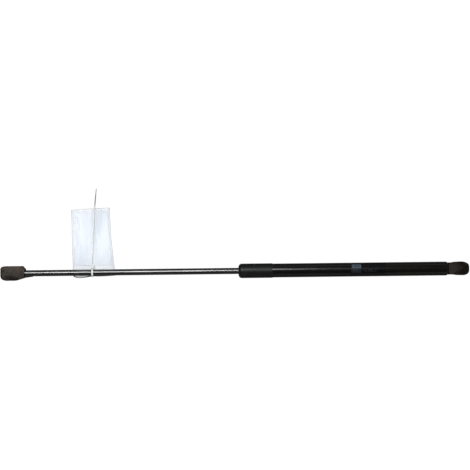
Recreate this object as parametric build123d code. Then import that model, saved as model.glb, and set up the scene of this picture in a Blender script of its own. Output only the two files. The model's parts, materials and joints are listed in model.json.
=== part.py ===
from build123d import *

import os

os.makedirs("parts", exist_ok=True)

# A gas strut stay, fully extended. Millimetres. The origin is the centre of the ball in
# the tube's socket, X runs along the strut with the rod end at -X, and +Z is up when the
# strut lies on a table with the mouth of the tube's socket down.

# ---------------------------------------------------------------- driving dimensions

CENTRE_DISTANCE = 590.0  # ball centre to ball centre, extended

TUBE_LENGTH = 270.6
TUBE_OUTER_R = 9.0
TUBE_WALL = 1.4
TUBE_EDGE_R = 3.4  # rounding of the rolled ends
LIP_THICKNESS = 1.4
BEAD_DEPTH = 0.6  # the groove that is rolled into the tube to lock the guide
BEAD_WIDTH = 2.0
BEAD_FLANK = 1.0

ROD_R = 4.0
ROD_THREAD_R = 3.0
ROD_SPIGOT_R = 2.5
RIVET_HEAD_R = 3.9
RIVET_HEAD_LENGTH = 2.2

COLLAR_LENGTH = 44.0
COLLAR_WALL = 0.4
COLLAR_FRONT = 1.05
COLLAR_EDGE_R = 4.5
COLLAR_INNER_EDGE_R = 3.2
COLLAR_MOUTH_R = 4.8

LABEL_FROM_CENTRE = 100.1
LABEL_LENGTH = 44.7
LABEL_THICKNESS = 0.1
LABEL_START_DEG = 25.0  # measured about X from +Y towards +Z
LABEL_ARC_DEG = 115.0

# The stack inside the front of the tube, from the rolled edge inwards.
FRONT_WASHER_LENGTH = 2.2
SEAL_LENGTH = 6.0
SEAL_LIP_DEPTH = 1.6
BACKING_WASHER_LENGTH = 1.0
GUIDE_LENGTH = 12.0
GUIDE_GROOVE_WIDTH = 4.4
BEARING_LENGTH = 8.0
BEARING_WALL = 0.9
STOP_RING_LENGTH = 3.0
STOP_RING_ROOM = 0.7  # between the stop ring and the tube

# The piston pack, from the rod's shoulder inwards.
DISC_LENGTH = 1.0
DISC_R = 6.6
PISTON_LENGTH = 7.0
PISTON_RING_WIDTH = 2.6
PISTON_RING_DEPTH = 1.5
METERING_HOLE_R = 0.4
METERING_HOLE_FROM_AXIS = 4.7

# The rear end of the tube.
PLUG_LENGTH = 8.6
PLUG_GROOVE_WIDTH = 2.4
PLUG_GROOVE_DEPTH = 1.6
STUD_R = 3.9
LIP_HOLE_R = 5.2

# Both ball sockets.
BALL_R = 5.0
SEAT_CLEARANCE = 0.05
SEAT_DEPTH = 2.4  # length of the round wall of the seat, from the ball's centre
RELIEF_DEPTH = 2.2  # the wider ring beyond the seat, where the clip reaches in
RELIEF_WIDENING = 0.55
LEAD_IN = 0.5
HEAD_R = 8.85
HEAD_BACK = 9.42
HEAD_SIDE_EDGE_R = 8.0  # rounding of the back's long edges
HEAD_MOUTH_EDGE_R = 2.4
NOSE_BACK_EDGE_R = 9.0
NOSE_MOUTH_EDGE_R = 6.0
SHANK_HALF_WIDTH = 7.7
THREAD_END_WALL = 2.4  # plastic left between the ball's seat and the thread
TUBE_SHANK_LENGTH = 18.4
ROD_SHANK_LENGTH = 23.2
SHANK_BACK_TAPER = 3.6
TONGUE_LENGTH = 10.0
TONGUE_HALF_WIDTH = 2.2
TONGUE_TIP = 0.6

# The retaining clips.
CLIP_THICKNESS = 1.2
CLIP_FROM_CENTRE = 2.9
CLIP_WIDTH = 1.8
CLIP_TAB_HALF_WIDTH = 1.2
CLIP_TAB_FROM_AXIS = 4.15
CLIP_TRAVEL = 5.0  # how far it is prised out to let the ball go

# The stock tag and the cable tie that holds it.
TIE_FROM_ROD_END = 110.7
TIE_WIDTH = 2.5
TIE_THICKNESS = 1.0
TIE_SLACK = 0.5  # how far the loop hangs below the middle of the rod
TIE_HEAD_LENGTH = 4.6
TIE_HEAD_WIDTH = 4.8
TIE_HEAD_HEIGHT = 4.2
TIE_TAIL_END_Y = 109.4
TIE_TAIL_DRIFT = 6.3  # how far the tip lies towards +X of the head
TIE_TAIL_BEND_Y = 45.0
TIE_TAIL_BEND_Z = -5.4
TIE_TAIL_THICKNESS = 0.9
TIE_TIP_LENGTH = 7.0
# The tag's corners in plan, from the rod end's ball centre: along the strut, then across.
TAG_CORNERS = [(84.8, -7.0), (139.9, -5.0), (132.9, 84.5), (82.3, 81.9)]
TAG_THICKNESS = 0.36
TAG_FILM = 0.1
TAG_RAMP_END_Y = 26.0
TAG_RAMP_START_Y = 1.5
TAG_SLOT_LENGTH = 3.6
TAG_NOTCH_FROM_AXIS = 1.3
CARD_MARGIN = 2.2
CARD_LOW_Y = 9.0
CARD_HIGH_Y = 79.0

# ------------------------------------------------------------------------ clearances

RUNNING = 0.04  # seal, bearing and piston ring against what slides in them
SNUG = 0.02  # pieces pushed or screwed together
SEAT_GAP = 0.05  # faces that stand against each other
PISTON_GAP = 0.3  # piston pack to stop ring, extended
CLIP_GAP = 0.15  # clip in its groove
ROD_TO_TAG = 0.12  # tie and tag round the rod
CARD_GAP = 0.01  # card between the two films

# --------------------------------------------------------------------- derived places

TUBE_REAR_X = -(TUBE_SHANK_LENGTH + SEAT_GAP)
TUBE_FRONT_X = TUBE_REAR_X - TUBE_LENGTH
TUBE_BORE_R = TUBE_OUTER_R - TUBE_WALL
TUBE_INNER_EDGE_R = TUBE_EDGE_R - LIP_THICKNESS
COLLAR_R = TUBE_OUTER_R + SNUG + COLLAR_WALL
MOUTH_DEPTH = COLLAR_R  # the strut lies level on its collar and this socket's mouth

STACK_START_X = TUBE_FRONT_X + LIP_THICKNESS + SEAT_GAP
SEAL_X = STACK_START_X + FRONT_WASHER_LENGTH + SEAT_GAP
BACKING_X = SEAL_X + SEAL_LENGTH + SEAT_GAP
GUIDE_X = BACKING_X + BACKING_WASHER_LENGTH + SEAT_GAP
STOP_RING_X = GUIDE_X + GUIDE_LENGTH + SEAT_GAP
ROD_SHOULDER_X = STOP_RING_X + STOP_RING_LENGTH + PISTON_GAP
PISTON_X = ROD_SHOULDER_X + DISC_LENGTH + SEAT_GAP
BACK_DISC_X = PISTON_X + PISTON_LENGTH + SEAT_GAP
RIVET_X = BACK_DISC_X + DISC_LENGTH + SEAT_GAP
GUIDE_MIDDLE_X = GUIDE_X + GUIDE_LENGTH / 2

PLUG_REAR_X = TUBE_REAR_X - LIP_THICKNESS - SEAT_GAP
PLUG_FRONT_X = PLUG_REAR_X - PLUG_LENGTH

SEAT_R = BALL_R + SEAT_CLEARANCE
THREAD_END = SEAT_R + THREAD_END_WALL  # distance of the thread's end from the ball's centre
TABLE_Z = -COLLAR_R
TIE_X = -CENTRE_DISTANCE + TIE_FROM_ROD_END

# ---------------------------------------------------------------------------- helpers

BASE_ALIGN = (Align.CENTER, Align.CENTER, Align.MIN)


def outline(points, roundings=()):
    """A flat face from its corners, with (corner number, radius) roundings."""
    face = make_face(Polyline(*points, close=True))
    for number, radius in roundings:
        corner = Vector(*points[number])
        nearest = face.vertices().sort_by(lambda v: (Vector(*v) - corner).length)[0]
        face = fillet(nearest, radius)
    return face


def turned(points, roundings=(), arc=360):
    """A solid turned about the strut's axis from (x, radius) corners."""
    return revolve(outline(points, roundings), Axis.X, revolution_arc=arc)


def washer(start_x, length, outer_r, inner_r):
    """A plain ring on the strut's axis."""
    end_x = start_x + length
    return turned([(start_x, inner_r), (start_x, outer_r), (end_x, outer_r), (end_x, inner_r)])


def rod_between(start_x, end_x, radius):
    """A plain round bar on the strut's axis."""
    length = end_x - start_x
    return Pos(start_x, 0, 0) * (Rot(0, 90, 0) * Cylinder(radius, length, align=BASE_ALIGN))


def block(x_range, y_range, z_range):
    """A box between two corners."""
    size = [high - low for low, high in (x_range, y_range, z_range)]
    corner = Pos(x_range[0], y_range[0], z_range[0])
    return corner * Box(*size, align=(Align.MIN, Align.MIN, Align.MIN))


def upright(radius, low_z, high_z):
    """A round bar along Z at the origin."""
    return Pos(0, 0, low_z) * Cylinder(radius, high_z - low_z, align=BASE_ALIGN)


# ------------------------------------------------------------------- tube and its ends


def pressure_tube():
    """The drawn tube, rolled in at both ends, with the bead that locks the guide."""
    bead_r = TUBE_OUTER_R - BEAD_DEPTH
    bead_bore_r = TUBE_BORE_R - BEAD_DEPTH
    flat, foot = BEAD_WIDTH / 2, BEAD_WIDTH / 2 + BEAD_FLANK
    points = [
        (TUBE_FRONT_X, LIP_HOLE_R),
        (TUBE_FRONT_X, TUBE_OUTER_R),
        (GUIDE_MIDDLE_X - foot, TUBE_OUTER_R),
        (GUIDE_MIDDLE_X - flat, bead_r),
        (GUIDE_MIDDLE_X + flat, bead_r),
        (GUIDE_MIDDLE_X + foot, TUBE_OUTER_R),
        (TUBE_REAR_X, TUBE_OUTER_R),
        (TUBE_REAR_X, LIP_HOLE_R),
        (TUBE_REAR_X - LIP_THICKNESS, LIP_HOLE_R),
        (TUBE_REAR_X - LIP_THICKNESS, TUBE_BORE_R),
        (GUIDE_MIDDLE_X + foot, TUBE_BORE_R),
        (GUIDE_MIDDLE_X + flat, bead_bore_r),
        (GUIDE_MIDDLE_X - flat, bead_bore_r),
        (GUIDE_MIDDLE_X - foot, TUBE_BORE_R),
        (TUBE_FRONT_X + LIP_THICKNESS, TUBE_BORE_R),
        (TUBE_FRONT_X + LIP_THICKNESS, LIP_HOLE_R),
    ]
    outer, inner = TUBE_EDGE_R, TUBE_INNER_EDGE_R
    return turned(points, [(1, outer), (6, outer), (9, inner), (14, inner)])


def end_plug():
    """The plug behind the rolled edge, with the stud that the socket screws on."""
    plug_r = TUBE_BORE_R - SNUG
    groove_r = plug_r - PLUG_GROOVE_DEPTH
    groove_x = (PLUG_FRONT_X + PLUG_REAR_X - PLUG_GROOVE_WIDTH) / 2
    edge = TUBE_INNER_EDGE_R + SNUG
    stud_end_x = -THREAD_END - SEAT_GAP
    return turned(
        [
            (PLUG_FRONT_X, 0),
            (PLUG_FRONT_X, plug_r),
            (groove_x, plug_r),
            (groove_x, groove_r),
            (groove_x + PLUG_GROOVE_WIDTH, groove_r),
            (groove_x + PLUG_GROOVE_WIDTH, plug_r),
            (PLUG_REAR_X - edge, plug_r),
            (PLUG_REAR_X, plug_r - edge),
            (PLUG_REAR_X, STUD_R),
            (stud_end_x, STUD_R),
            (stud_end_x, 0),
        ]
    )


def end_plug_seal():
    """The rubber ring in the plug's groove."""
    inner_r = TUBE_BORE_R - SNUG - PLUG_GROOVE_DEPTH + SNUG
    outer_r = TUBE_BORE_R - SNUG
    width = PLUG_GROOVE_WIDTH - 2 * SEAT_GAP
    start_x = (PLUG_FRONT_X + PLUG_REAR_X - width) / 2
    end_x = start_x + width
    corners = [(start_x, inner_r), (start_x, outer_r), (end_x, outer_r), (end_x, inner_r)]
    round_r = 0.4 * (outer_r - inner_r)
    return turned(corners, [(number, round_r) for number in range(len(corners))])


def tube_collar():
    """The thin plastic sleeve over the rod end of the tube, domed in front."""
    front_x = TUBE_FRONT_X - COLLAR_FRONT
    rear_x = front_x + COLLAR_LENGTH
    bore_r = TUBE_OUTER_R + SNUG
    inside_x = TUBE_FRONT_X - SEAT_GAP
    return turned(
        [
            (front_x, COLLAR_MOUTH_R),
            (front_x, COLLAR_R),
            (rear_x, COLLAR_R),
            (rear_x, bore_r),
            (inside_x, bore_r),
            (inside_x, COLLAR_MOUTH_R),
        ],
        [(1, COLLAR_EDGE_R), (4, COLLAR_INNER_EDGE_R)],
    )


def type_label():
    """The printed film, wrapped part of the way round the tube."""
    low_r = TUBE_OUTER_R + SNUG
    high_r = low_r + LABEL_THICKNESS
    end_x = -LABEL_FROM_CENTRE
    start_x = end_x - LABEL_LENGTH
    corners = [(start_x, low_r), (start_x, high_r), (end_x, high_r), (end_x, low_r)]
    return Rot(LABEL_START_DEG, 0, 0) * turned(corners, arc=LABEL_ARC_DEG)


# ------------------------------------------------------------- guide and seal in front


def front_washer():
    """The bevelled ring that the rolled edge of the tube bears on."""
    inner_r = ROD_R + PISTON_GAP
    outer_r = TUBE_BORE_R - SNUG
    edge = TUBE_INNER_EDGE_R + SNUG
    end_x = STACK_START_X + FRONT_WASHER_LENGTH
    return turned(
        [
            (STACK_START_X, inner_r),
            (STACK_START_X, outer_r - edge),
            (STACK_START_X + edge, outer_r),
            (end_x, outer_r),
            (end_x, inner_r),
        ]
    )


def rod_seal():
    """The rubber seal, its lips opened towards the gas by a groove in the rear face."""
    outer_r = TUBE_BORE_R - SNUG
    inner_r = ROD_R + RUNNING
    end_x = SEAL_X + SEAL_LENGTH
    third = (outer_r - inner_r) / 3
    return turned(
        [
            (SEAL_X, inner_r),
            (SEAL_X, outer_r),
            (end_x, outer_r),
            (end_x, outer_r - third),
            (end_x - SEAL_LIP_DEPTH, outer_r - 1.5 * third),
            (end_x, inner_r + third),
            (end_x, inner_r),
        ]
    )


def guide_bush():
    """The guide, with the groove that the tube's bead is rolled into."""
    outer_r = TUBE_BORE_R - SNUG
    groove_r = TUBE_BORE_R - BEAD_DEPTH - SEAT_GAP
    groove_start_x = GUIDE_MIDDLE_X - GUIDE_GROOVE_WIDTH / 2
    groove_end_x = GUIDE_MIDDLE_X + GUIDE_GROOVE_WIDTH / 2
    bearing_r = ROD_R + RUNNING + BEARING_WALL + SNUG
    bearing_start_x = GUIDE_MIDDLE_X - BEARING_LENGTH / 2 - SEAT_GAP
    bearing_end_x = GUIDE_MIDDLE_X + BEARING_LENGTH / 2 + SEAT_GAP
    free_r = ROD_R + PISTON_GAP
    end_x = GUIDE_X + GUIDE_LENGTH
    return turned(
        [
            (GUIDE_X, free_r),
            (GUIDE_X, outer_r),
            (groove_start_x, outer_r),
            (groove_start_x, groove_r),
            (groove_end_x, groove_r),
            (groove_end_x, outer_r),
            (end_x, outer_r),
            (end_x, free_r),
            (bearing_end_x, free_r),
            (bearing_end_x, bearing_r),
            (bearing_start_x, bearing_r),
            (bearing_start_x, free_r),
        ]
    )


def guide_bearing():
    """The lined strip in the guide, which the rod runs in."""
    inner_r = ROD_R + RUNNING
    return washer(GUIDE_MIDDLE_X - BEARING_LENGTH / 2, BEARING_LENGTH, inner_r + BEARING_WALL, inner_r)


def stop_ring():
    """The ring that the piston pack meets when the strut is fully out."""
    outer_r = TUBE_BORE_R - STOP_RING_ROOM
    return washer(STOP_RING_X, STOP_RING_LENGTH, outer_r, ROD_R + PISTON_GAP)


# ------------------------------------------------------------------------ rod and piston


def piston_rod():
    """The rod, with its thread at the socket and its riveted spigot at the piston."""
    thread_end_x = -CENTRE_DISTANCE + THREAD_END + SEAT_GAP
    socket_face_x = -CENTRE_DISTANCE + ROD_SHANK_LENGTH + SEAT_GAP
    return turned(
        [
            (thread_end_x, 0),
            (thread_end_x, ROD_THREAD_R),
            (socket_face_x, ROD_THREAD_R),
            (socket_face_x, ROD_R),
            (ROD_SHOULDER_X, ROD_R),
            (ROD_SHOULDER_X, ROD_SPIGOT_R),
            (RIVET_X, ROD_SPIGOT_R),
            (RIVET_X, RIVET_HEAD_R),
            (RIVET_X + RIVET_HEAD_LENGTH, RIVET_HEAD_R),
            (RIVET_X + RIVET_HEAD_LENGTH, 0),
        ],
        [(8, RIVET_HEAD_LENGTH / 2)],
    )


def piston():
    """The piston, with its ring groove and the fine hole that meters the gas."""
    outer_r = TUBE_BORE_R - RUNNING
    groove_r = outer_r - PISTON_RING_DEPTH
    bore_r = ROD_SPIGOT_R + SNUG
    groove_x = PISTON_X + (PISTON_LENGTH - PISTON_RING_WIDTH) / 2
    end_x = PISTON_X + PISTON_LENGTH
    body = turned(
        [
            (PISTON_X, bore_r),
            (PISTON_X, outer_r),
            (groove_x, outer_r),
            (groove_x, groove_r),
            (groove_x + PISTON_RING_WIDTH, groove_r),
            (groove_x + PISTON_RING_WIDTH, outer_r),
            (end_x, outer_r),
            (end_x, bore_r),
        ]
    )
    hole = rod_between(PISTON_X - 1, end_x + 1, METERING_HOLE_R)
    return body - Pos(0, 0, METERING_HOLE_FROM_AXIS) * hole


def piston_disc(start_x):
    """A disc that holds the piston on the rod's spigot."""
    disc = washer(start_x, DISC_LENGTH, DISC_R, ROD_SPIGOT_R + SNUG)
    hole = rod_between(start_x - 1, start_x + DISC_LENGTH + 1, METERING_HOLE_R)
    return disc - Pos(0, 0, METERING_HOLE_FROM_AXIS) * hole


def piston_ring():
    """The ring that seals the piston to the tube and drags along its wall."""
    outer_r = TUBE_BORE_R - RUNNING / 2
    inner_r = TUBE_BORE_R - RUNNING - PISTON_RING_DEPTH + RUNNING
    width = PISTON_RING_WIDTH - 2 * SEAT_GAP
    start_x = PISTON_X + (PISTON_LENGTH - width) / 2
    return washer(start_x, width, outer_r, inner_r)


# --------------------------------------------------------------------------- ball sockets
# Each is made in its own frame: the ball's centre is the origin, +X is the nose and +Z
# is the way the mouth opens.


def socket_blank(shank_length):
    """The outside of a socket: where its plan, its side view and its section meet."""
    plan = Circle(HEAD_R) + outline(
        [
            (0, -HEAD_R),
            (0, HEAD_R),
            (-HEAD_R, HEAD_R - 0.35),
            (-1.5 * HEAD_R, SHANK_HALF_WIDTH),
            (-shank_length, SHANK_HALF_WIDTH),
            (-shank_length, -SHANK_HALF_WIDTH),
            (-1.5 * HEAD_R, -SHANK_HALF_WIDTH),
            (-HEAD_R, 0.35 - HEAD_R),
        ]
    )
    height = HEAD_BACK + MOUTH_DEPTH
    from_above = Pos(0, 0, -HEAD_BACK) * extrude(plan, height)
    chamfer = min(SHANK_HALF_WIDTH - ROD_R, shank_length - HEAD_R - 1)
    side = outline(
        [
            (HEAD_R, -HEAD_BACK),
            (HEAD_R, MOUTH_DEPTH),
            (-shank_length + chamfer, MOUTH_DEPTH),
            (-shank_length, ROD_R + 1.2),
            (-shank_length, SHANK_BACK_TAPER - HEAD_BACK),
            (-shank_length / 2, -HEAD_BACK),
        ],
        [(0, NOSE_BACK_EDGE_R), (1, NOSE_MOUTH_EDGE_R), (2, chamfer / 2)],
    )
    from_side = extrude(Plane.XZ * side, HEAD_R, both=True)
    section = outline(
        [(-HEAD_R, -HEAD_BACK), (HEAD_R, -HEAD_BACK), (HEAD_R, MOUTH_DEPTH), (-HEAD_R, MOUTH_DEPTH)],
        [(0, HEAD_SIDE_EDGE_R), (1, HEAD_SIDE_EDGE_R), (2, HEAD_MOUTH_EDGE_R), (3, HEAD_MOUTH_EDGE_R)],
    )
    from_end = extrude(Plane.YZ * section, shank_length + HEAD_R, both=True)
    return from_above & from_side & from_end


def socket_tongue(shank_length):
    """The rib that runs out from the back of the rod's socket, under the rod."""
    root_x, tip_x = -shank_length + 3, -shank_length - TONGUE_LENGTH
    rib = outline(
        [
            (root_x, -ROD_R),
            (root_x, SHANK_BACK_TAPER - HEAD_BACK),
            (-shank_length, SHANK_BACK_TAPER - HEAD_BACK),
            (tip_x, -ROD_R - TONGUE_TIP),
            (tip_x, -ROD_R + TONGUE_TIP),
            (-shank_length, -ROD_R + TONGUE_TIP),
        ]
    )
    web = extrude(Plane.XZ * rib, TONGUE_HALF_WIDTH, both=True)
    rod_room = Pos(-shank_length, 0, 0) * (
        Rot(0, -90, 0) * Cylinder(ROD_R + SEAT_GAP, 2 * TONGUE_LENGTH, align=BASE_ALIGN)
    )
    return web - rod_room


def ball_cavity():
    """The space that the ball goes in: a round bottom, the seat, the relief and the mouth."""
    relief_end = SEAT_DEPTH + RELIEF_DEPTH
    lead_in = Pos(0, 0, MOUTH_DEPTH - LEAD_IN) * Cone(
        SEAT_R, SEAT_R + 2 * LEAD_IN, 2 * LEAD_IN, align=BASE_ALIGN
    )
    return (
        Sphere(SEAT_R)
        + upright(SEAT_R, 0, MOUTH_DEPTH + 1)
        + upright(SEAT_R + RELIEF_WIDENING, SEAT_DEPTH, relief_end)
        + lead_in
    )


def clip_room():
    """What is cut away for the clip: a groove round the nose and a window in each side."""
    low = CLIP_FROM_CENTRE - CLIP_GAP
    high = CLIP_FROM_CENTRE + CLIP_THICKNESS + CLIP_GAP
    groove_r = HEAD_R - CLIP_WIDTH - 2 * CLIP_GAP
    rear_x = -CLIP_TAB_HALF_WIDTH - CLIP_GAP
    half = block((rear_x, 2 * HEAD_R), (-2 * HEAD_R, 2 * HEAD_R), (low, high))
    groove = half - upright(groove_r, low, high)
    window_end = CLIP_TAB_HALF_WIDTH + CLIP_TRAVEL + CLIP_GAP
    inner_y = CLIP_TAB_FROM_AXIS - CLIP_GAP
    window = block((rear_x, window_end), (inner_y, 2 * HEAD_R), (low, high))
    return groove + window + mirror(window, Plane.XZ)


def ball_socket(shank_length, thread_r, with_tongue):
    """A plastic ball socket, screwed on by its shank."""
    body = socket_blank(shank_length)
    if with_tongue:
        body += socket_tongue(shank_length)
    thread = Pos(-THREAD_END, 0, 0) * (
        Rot(0, -90, 0) * Cylinder(thread_r + SNUG, 2 * shank_length, align=BASE_ALIGN)
    )
    keep = block((-shank_length - TONGUE_LENGTH - 1, 0), (-HEAD_R, HEAD_R), (-HEAD_BACK, MOUTH_DEPTH))
    return body - ball_cavity() - clip_room() - (thread & keep)


def retaining_clip():
    """The C-shaped spring steel clip, whose two tabs hold the ball in."""
    outer_r = HEAD_R - CLIP_GAP
    inner_r = outer_r - CLIP_WIDTH
    ring = Circle(outer_r) - Circle(inner_r)
    front = ring & (Pos(HEAD_R - CLIP_TAB_HALF_WIDTH, 0) * Rectangle(2 * HEAD_R, 4 * HEAD_R))
    tab_length = inner_r + CLIP_WIDTH / 2 - CLIP_TAB_FROM_AXIS
    tab_middle = CLIP_TAB_FROM_AXIS + tab_length / 2
    tab = Rectangle(2 * CLIP_TAB_HALF_WIDTH, tab_length)
    shape = front + Pos(0, tab_middle) * tab + Pos(0, -tab_middle) * tab
    return Pos(0, 0, CLIP_FROM_CENTRE) * extrude(shape, CLIP_THICKNESS)


TUBE_END = Plane(origin=(0, 0, 0), x_dir=(1, 0, 0), z_dir=(0, 0, -1))
ROD_END = Plane(origin=(-CENTRE_DISTANCE, 0, 0), x_dir=(-1, 0, 0), z_dir=(0, 1, 0))

# ------------------------------------------------------------------------- tag and its tie


def cable_tie():
    """The tie: a loop round the rod and the tag's edge, its head, and its loose tail."""
    inner_r = ROD_R + ROD_TO_TAG + TIE_SLACK
    outer_r = inner_r + TIE_THICKNESS
    loop = Pos(-TIE_WIDTH / 2, 0, -TIE_SLACK) * (
        Rot(0, 90, 0)
        * (Cylinder(outer_r, TIE_WIDTH, align=BASE_ALIGN) - Cylinder(inner_r, TIE_WIDTH, align=BASE_ALIGN))
    )
    head_y = inner_r + TIE_THICKNESS / 2
    head_end_y = head_y + TIE_HEAD_LENGTH
    head_low_z = -TIE_HEAD_HEIGHT / 3
    half_head = TIE_HEAD_WIDTH / 2
    head = block((-half_head, half_head), (head_y, head_end_y), (head_low_z, head_low_z + TIE_HEAD_HEIGHT))
    exit_z = head_low_z + TIE_HEAD_HEIGHT / 2
    tip_z = TABLE_Z + SEAT_GAP
    tip_y = TIE_TAIL_END_Y
    slit = TIE_TAIL_THICKNESS
    strap = outline(
        [
            (head_end_y - 1, exit_z),
            (TIE_TAIL_BEND_Y, TIE_TAIL_BEND_Z),
            (tip_y, tip_z),
            (tip_y, tip_z + slit),
            (TIE_TAIL_BEND_Y, TIE_TAIL_BEND_Z + slit),
            (head_end_y - 1, exit_z + slit),
        ]
    )
    half = TIE_WIDTH / 2
    from_side = extrude(Plane.YZ * strap, 4 * TIE_WIDTH, both=True)
    drift = TIE_TAIL_DRIFT
    from_above = outline(
        [
            (-half, head_end_y - 1),
            (half, head_end_y - 1),
            (drift + half, tip_y - TIE_TIP_LENGTH),
            (drift + half / 4, tip_y),
            (drift - half / 4, tip_y),
            (drift - half, tip_y - TIE_TIP_LENGTH),
        ]
    )
    depth = TIE_HEAD_HEIGHT + COLLAR_R
    tail = from_side & (Pos(0, 0, -depth) * extrude(from_above, 2 * depth))
    return Pos(TIE_X, 0, 0) * (loop + head + tail)


def tag_layer(low, high, plan):
    """A layer of the tag, which lies on the table and rises to the underside of the rod."""
    lift = -ROD_R - ROD_TO_TAG - TAG_THICKNESS
    past_y = 2 * CARD_HIGH_Y
    centre_line = [(-past_y, lift), (TAG_RAMP_START_Y, lift), (TAG_RAMP_END_Y, TABLE_Z), (past_y, TABLE_Z)]
    below = [(y, z + low) for y, z in centre_line]
    above = [(y, z + high) for y, z in reversed(centre_line)]
    profile = extrude(Plane.YZ * outline(below + above), CENTRE_DISTANCE, both=True)
    prism = Pos(-CENTRE_DISTANCE, 0, -2 * COLLAR_R) * extrude(plan, 4 * COLLAR_R)
    return prism & profile


def tag_plan():
    """The outline of the tag in plan, from the rod end's ball centre."""
    return outline(TAG_CORNERS)


def card_plan(margin):
    """The outline of the card in plan: the tag's, less a margin, between its two ends."""
    inner = offset(tag_plan(), -margin, kind=Kind.INTERSECTION)
    middle_y = (CARD_LOW_Y + CARD_HIGH_Y) / 2
    height = CARD_HIGH_Y - CARD_LOW_Y + 2 * (CARD_MARGIN - margin)
    return inner & (Pos(TIE_FROM_ROD_END, middle_y) * Rectangle(CENTRE_DISTANCE, height))


def tag_pouch():
    """The clear pouch, with its closed pocket and the two openings that the tie goes through."""
    pocket_margin = CARD_MARGIN - 2 * CARD_GAP
    sheet = tag_layer(0, TAG_THICKNESS, tag_plan())
    pocket = tag_layer(TAG_FILM, TAG_THICKNESS - TAG_FILM, card_plan(pocket_margin))
    half = TIE_WIDTH / 2 + ROD_TO_TAG
    x_range = (TIE_X - half, TIE_X + half)
    z_range = (2 * TABLE_Z, 0)
    notch = block(x_range, (-2 * ROD_R, -TAG_NOTCH_FROM_AXIS), z_range)
    slot_start_y = TAG_RAMP_START_Y - 2 * ROD_TO_TAG
    slot = block(x_range, (slot_start_y, slot_start_y + TAG_SLOT_LENGTH), z_range)
    return sheet - pocket - notch - slot


def tag_card():
    """The card in the pouch."""
    low = TAG_FILM + CARD_GAP
    return tag_layer(low, TAG_THICKNESS - low, card_plan(CARD_MARGIN))


# ------------------------------------------------------------------------------- the model

NODES = {
    "pressure_tube": pressure_tube(),
    "end_plug": end_plug(),
    "end_plug_seal": end_plug_seal(),
    "tube_collar": tube_collar(),
    "type_label": type_label(),
    "front_washer": front_washer(),
    "rod_seal": rod_seal(),
    "backing_washer": washer(BACKING_X, BACKING_WASHER_LENGTH, TUBE_BORE_R - SNUG, ROD_R + PISTON_GAP),
    "guide_bush": guide_bush(),
    "guide_bearing": guide_bearing(),
    "stop_ring": stop_ring(),
    "piston_rod": piston_rod(),
    "piston_front_disc": piston_disc(ROD_SHOULDER_X + SEAT_GAP / 2),
    "piston": piston(),
    "piston_ring": piston_ring(),
    "piston_back_disc": piston_disc(BACK_DISC_X),
    "tube_socket": TUBE_END * ball_socket(TUBE_SHANK_LENGTH, STUD_R, with_tongue=False),
    "tube_socket_clip": TUBE_END * retaining_clip(),
    "rod_socket": ROD_END * ball_socket(ROD_SHANK_LENGTH, ROD_THREAD_R, with_tongue=True),
    "rod_socket_clip": ROD_END * retaining_clip(),
    "cable_tie": cable_tie(),
    "tag_pouch": tag_pouch(),
    "tag_card": tag_card(),
}

for name, shape in NODES.items():
    export_step(shape, f"parts/{name}.step")
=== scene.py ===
"""A gas strut stay with its stock tag, laid out on a pale table."""

import math

import json

import bmesh
import bpy
from mathutils import Matrix, Vector


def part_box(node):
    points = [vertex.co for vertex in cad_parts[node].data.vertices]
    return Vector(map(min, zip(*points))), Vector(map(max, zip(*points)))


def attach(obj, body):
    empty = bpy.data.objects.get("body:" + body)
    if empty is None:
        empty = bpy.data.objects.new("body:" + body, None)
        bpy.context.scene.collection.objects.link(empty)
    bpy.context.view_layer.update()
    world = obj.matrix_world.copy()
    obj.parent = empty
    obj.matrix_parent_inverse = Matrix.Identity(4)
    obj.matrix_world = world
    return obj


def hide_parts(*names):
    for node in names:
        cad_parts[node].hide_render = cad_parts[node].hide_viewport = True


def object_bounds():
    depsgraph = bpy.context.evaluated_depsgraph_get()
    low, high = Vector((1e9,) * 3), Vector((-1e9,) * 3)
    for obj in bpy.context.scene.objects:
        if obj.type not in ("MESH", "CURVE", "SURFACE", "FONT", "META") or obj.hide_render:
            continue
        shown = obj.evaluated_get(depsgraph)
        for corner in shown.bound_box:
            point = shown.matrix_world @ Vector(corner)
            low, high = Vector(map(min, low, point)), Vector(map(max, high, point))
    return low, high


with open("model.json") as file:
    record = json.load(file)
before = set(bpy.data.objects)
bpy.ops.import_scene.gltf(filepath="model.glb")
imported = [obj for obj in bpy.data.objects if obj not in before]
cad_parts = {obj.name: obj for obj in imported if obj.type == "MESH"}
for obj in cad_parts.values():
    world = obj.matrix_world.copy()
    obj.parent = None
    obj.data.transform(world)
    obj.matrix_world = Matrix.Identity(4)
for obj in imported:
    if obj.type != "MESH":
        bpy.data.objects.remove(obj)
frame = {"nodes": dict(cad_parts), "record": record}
cad_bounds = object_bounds()
nodes = frame["nodes"]

MM = 0.001


# ------------------------------------------------------------------------ places, in metres

TABLE_Z = cad_bounds[0].z
TUBE_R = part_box("pressure_tube")[1].z
ROD_BALL_X = next(m for m in frame["record"]["mounts"] if m["name"] == "rod_end_ball_seat")["pos_m"][0]
HEAD_SIZE = Vector((4.8, 4.6, 4.2)) * MM
TIE_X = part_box("cable_tie")[0].x + HEAD_SIZE.x / 2

# ------------------------------------------------------------------------- material helpers


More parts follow.
